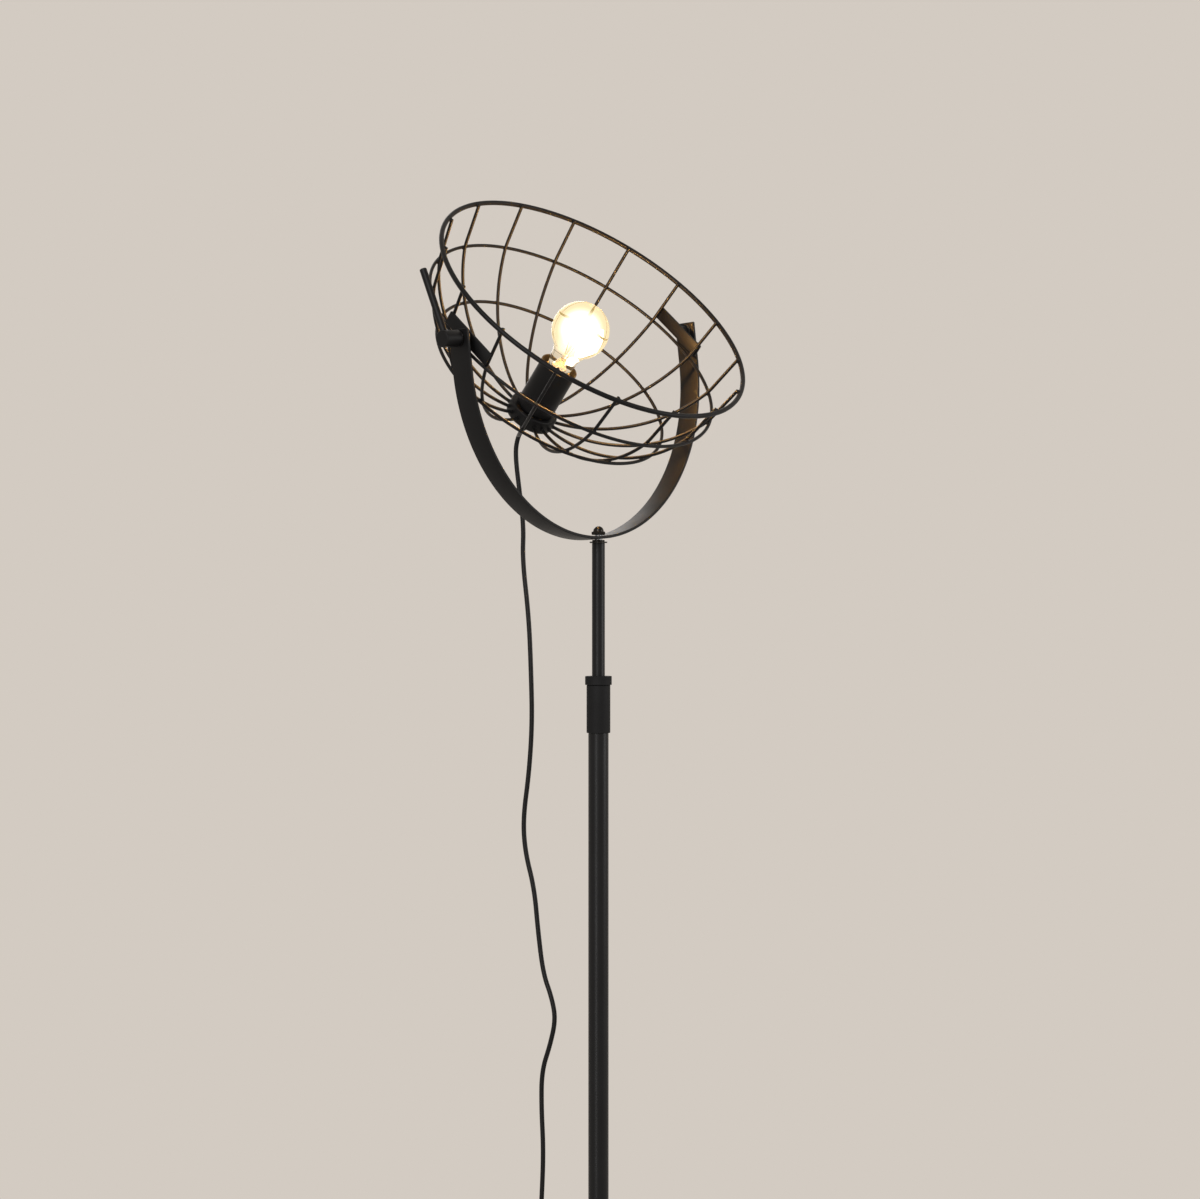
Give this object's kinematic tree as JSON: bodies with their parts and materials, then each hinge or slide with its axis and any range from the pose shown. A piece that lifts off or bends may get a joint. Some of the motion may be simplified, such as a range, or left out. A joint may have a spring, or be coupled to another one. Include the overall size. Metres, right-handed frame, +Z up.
{
  "type": "wire cage floor lamp",
  "caption": "Floor lamp with a round weighted base, a telescopic stem with a twist collar, a U bracket and a tilting wire cage around a bare bulb.",
  "frame": {"origin": "middle of the base's underside, on the floor", "axes": "+Z up along the stem, X along the cage's pivots from the clamp lever on the left, and -Y the way the cage is tilted"},
  "size_m": [0.3872, 0.5567, 1.6411],
  "materials": {
    "powder_coat": "matt black powder coat with a fine grain",
    "tube_enamel": "satin black enamel",
    "black_hardware": "black plated fasteners, slightly bright",
    "moulded_plastic": "matt black moulded plastic",
    "plain_nylon": "plain nylon",
    "cast_iron": "rough cast iron",
    "zinc_steel": "zinc plated steel",
    "base_felt_rubber": "matt black rubber",
    "cord_sheath": "satin black flexible sheath",
    "porcelain": "glazed off-white insert",
    "brass": "bright brass",
    "nickel": "nickel plated",
    "bulb_glass": "clear to warm white glass",
    "bulb_cap_metal": "rolled aluminium",
    "filament_glow": "glowing warm white"
  },
  "bodies": {
    "base": {"base_pad": "base_felt_rubber", "base_weight": "cast_iron", "base_cover": "powder_coat", "base_bolt": "zinc_steel", "tube_foot_plug": "zinc_steel", "tube_seat_ring": "powder_coat", "lower_tube": "tube_enamel", "collar_body": "moulded_plastic", "collar_collet": "plain_nylon", "cord_lower": "cord_sheath", "cord_tail": "cord_sheath", "cord_coil": "cord_sheath", "switch_base": "moulded_plastic", "switch_cover": "moulded_plastic", "switch_spring": "zinc_steel", "switch_reliefs": "base_felt_rubber", "plug_body": "cord_sheath", "plug_pins": "nickel"},
    "collar_ring": {"collar_ring": "moulded_plastic"},
    "mast": {"inner_tube": "tube_enamel", "guide_bush": "plain_nylon", "mast_stud": "zinc_steel", "stem_washer": "black_hardware", "cord_middle": "cord_sheath"},
    "yoke": {"lock_washer": "black_hardware", "dome_nut": "black_hardware", "yoke_bracket": "powder_coat", "friction_washers": "plain_nylon", "pivot_outer_washers": "black_hardware", "cord_upper": "cord_sheath"},
    "head": {"cage_rim": "powder_coat", "cage_ring_upper": "powder_coat", "cage_ring_lower": "powder_coat", "cage_rib_pair_1": "powder_coat", "cage_rib_pair_2": "powder_coat", "cage_rib_pair_3": "powder_coat", "cage_rib_pair_4": "powder_coat", "cage_rib_pair_5": "powder_coat", "cage_rib_pair_6": "powder_coat", "cage_rib_pair_7": "powder_coat", "cage_rib_pair_8": "powder_coat", "pivot_plate_right": "powder_coat", "pivot_plate_left": "powder_coat", "pivot_spacers": "black_hardware", "pivot_screw": "black_hardware", "cage_crown": "powder_coat", "holder_cup": "powder_coat", "holder_body": "porcelain", "holder_shell": "brass", "holder_contact": "brass", "lamp_nipple": "zinc_steel", "nipple_nut": "zinc_steel", "bulb_glass": "bulb_glass", "bulb_cap": "bulb_cap_metal", "bulb_filament": "filament_glow", "cord_gland": "base_felt_rubber"},
    "lever": {"lever_hub": "black_hardware", "lever_bar": "black_hardware", "lever_stud": "zinc_steel"},
    "button": {"switch_button": "moulded_plastic"}
  },
  "joints": [
    {"name": "collar_twist", "type": "hinge", "parent": "base", "child": "collar_ring", "pos_m": [0, 0, 1.136], "axis": [0, 0, 1], "range_deg": [0, 90]},
    {"name": "mast_slide", "type": "slide", "parent": "base", "child": "mast", "axis": [0, 0, 1], "range_m": [-0.11, 0.25], "deforming": ["cord_lower"]},
    {"name": "yoke_swivel", "type": "hinge", "parent": "mast", "child": "yoke", "pos_m": [0, 0, 1.284], "axis": [0, 0, 1], "range_deg": [-120, 120], "deforming": ["cord_middle"]},
    {"name": "head_tilt", "type": "hinge", "parent": "yoke", "child": "head", "pos_m": [-0.02013, 0.01027, 1.49308], "axis": [0.9954, 0, 0.0958], "range_deg": [-45.5, 74.5], "deforming": ["cord_upper"]},
    {"name": "lever_clamp", "type": "hinge", "parent": "head", "child": "lever", "pos_m": [-0.02013, 0.01027, 1.49308], "axis": [0.9954, 0, 0.0958], "range_deg": [0, 180]},
    {"name": "button_press", "type": "slide", "parent": "base", "child": "button", "axis": [0, 0, -1], "range_m": [0, 0.0035], "stiffness_N_per_m": 800, "springref_m": -0.003, "deforming": ["switch_spring"]}
  ]
}
